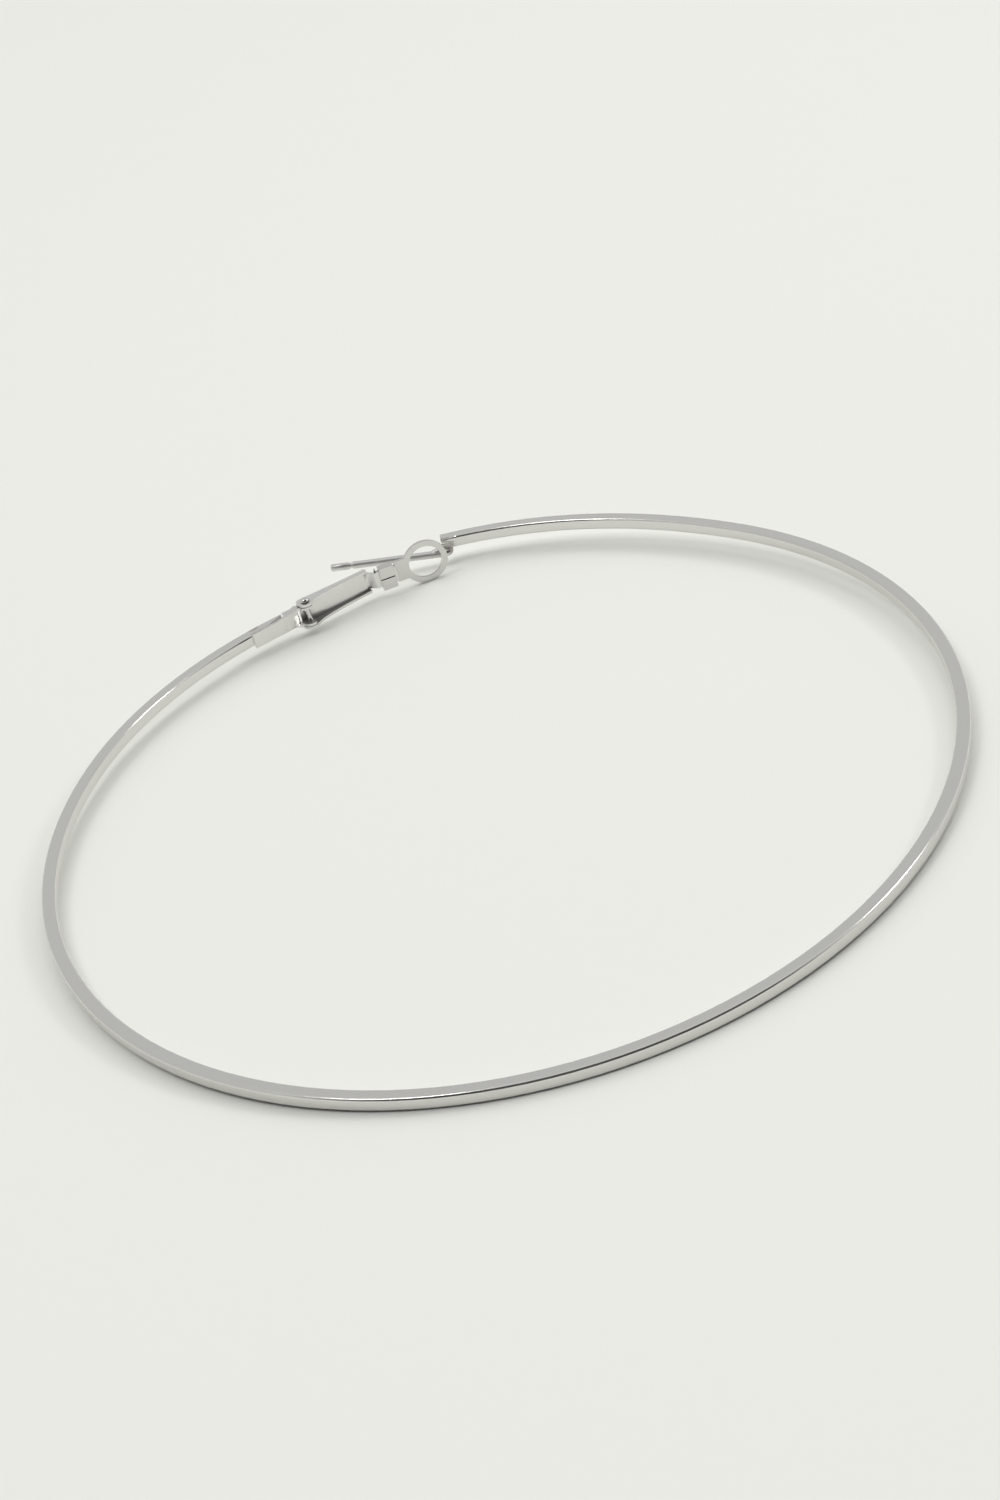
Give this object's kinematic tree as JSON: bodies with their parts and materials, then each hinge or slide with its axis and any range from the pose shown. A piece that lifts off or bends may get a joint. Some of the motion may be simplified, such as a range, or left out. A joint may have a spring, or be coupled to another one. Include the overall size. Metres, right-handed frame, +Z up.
{
  "type": "hoop earring",
  "caption": "Large thin hoop earring of square tube with a grooved ear post and a hinged lever clasp ending in a ring.",
  "frame": {"origin": "middle of the bounding box, at the table the earring lies on", "axes": "+Z up from the table, through the hoop; +Y towards the clasp; +X from the hinge towards the post's foot"},
  "size_m": [0.1, 0.1034, 0.0056],
  "materials": {
    "hoop_tube": "polished plated metal",
    "hinge_pin": "polished plated metal",
    "lever_channel": "satin plated sheet",
    "ring_plate": "satin plated sheet"
  },
  "bodies": {
    "hoop": {"hoop_tube": "hoop_tube", "hinge_pin": "hinge_pin"},
    "lever": {"lever_channel": "lever_channel", "ring_plate": "ring_plate"}
  },
  "joints": [
    {"name": "lever_hinge", "type": "hinge", "parent": "hoop", "child": "lever", "pos_m": [-0.01634, 0.04224, 0.00272], "axis": [-0.0005, 0.0209, -0.9998], "range_deg": [0, 90]}
  ]
}
